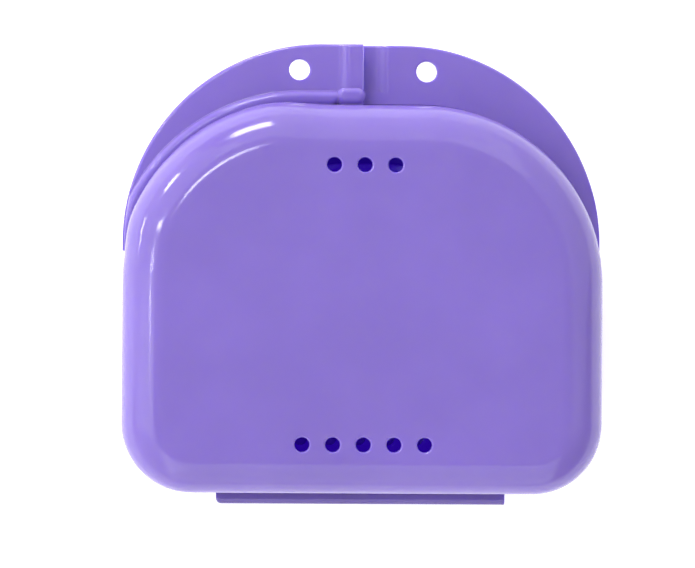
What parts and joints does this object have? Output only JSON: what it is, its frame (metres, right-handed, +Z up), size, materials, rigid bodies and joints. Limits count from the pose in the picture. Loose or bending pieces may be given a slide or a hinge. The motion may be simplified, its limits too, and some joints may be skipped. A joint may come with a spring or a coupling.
{
  "type": "mouthguard case",
  "caption": "D-shaped hinged plastic case with offset pull tabs, lanyard holes and vent holes, holding a horseshoe mouthguard with a soft liner.",
  "frame": {"origin": "middle of the bottom of the bounding box, on the surface the closed case lies on", "axes": "+Z up through the lid, +Y from the hinge to the pull tabs, +X to the side of the lower half's pull tab"},
  "size_m": [0.08, 0.077, 0.026],
  "materials": {
    "violet_plastic": "glossy injection-moulded polypropylene",
    "hinge_plastic": "thin flexed polypropylene",
    "guard_frame": "satin deep indigo firm elastomer",
    "guard_liner": "satin translucent white boil-and-bite gel"
  },
  "bodies": {
    "lower_half": {"lower_shell": "violet_plastic", "lower_tab": "violet_plastic", "living_hinge": "hinge_plastic"},
    "upper_half": {"upper_shell": "violet_plastic", "upper_tab": "violet_plastic"},
    "mouthguard": {"guard_frame": "guard_frame", "guard_liner": "guard_liner"}
  },
  "joints": [
    {"name": "lid_hinge", "type": "hinge", "parent": "lower_half", "child": "upper_half", "pos_m": [0, -0.03876, 0.013], "axis": [1, 0, 0], "range_deg": [0, 180], "deforming": ["living_hinge"]},
    {"name": "guard_lift", "type": "slide", "parent": "lower_half", "child": "mouthguard", "axis": [0, 0, 1], "range_m": [0, 0.003]}
  ]
}
